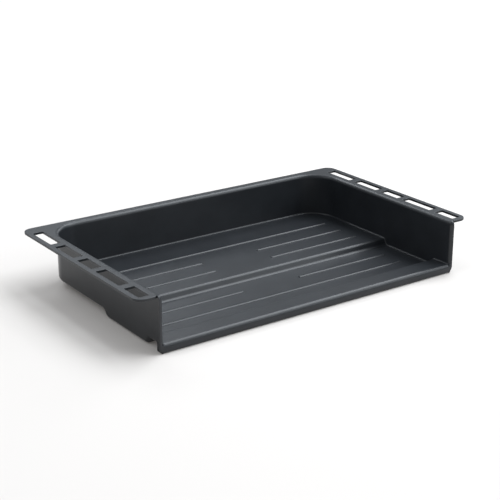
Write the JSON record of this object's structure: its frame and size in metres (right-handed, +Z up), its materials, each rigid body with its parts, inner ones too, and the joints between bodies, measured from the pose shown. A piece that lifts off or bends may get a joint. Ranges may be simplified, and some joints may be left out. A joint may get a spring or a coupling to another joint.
{
  "type": "drawer tray",
  "caption": "Shallow moulded tray with a stepped beaded floor, an open front with a raised rolled lip, and slotted side flanges that it hangs by.",
  "frame": {"origin": "under the middle of the tray, level with the underside of its lower floor and lip", "axes": "+X along the width, to the right seen from the open front; -Y towards the open front; +Z up"},
  "size_m": [0.5, 0.29, 0.07],
  "materials": {
    "tray_plastic": "satin moulded anthracite plastic"
  },
  "bodies": {
    "root": {"tray": "tray_plastic"}
  },
  "joints": []
}
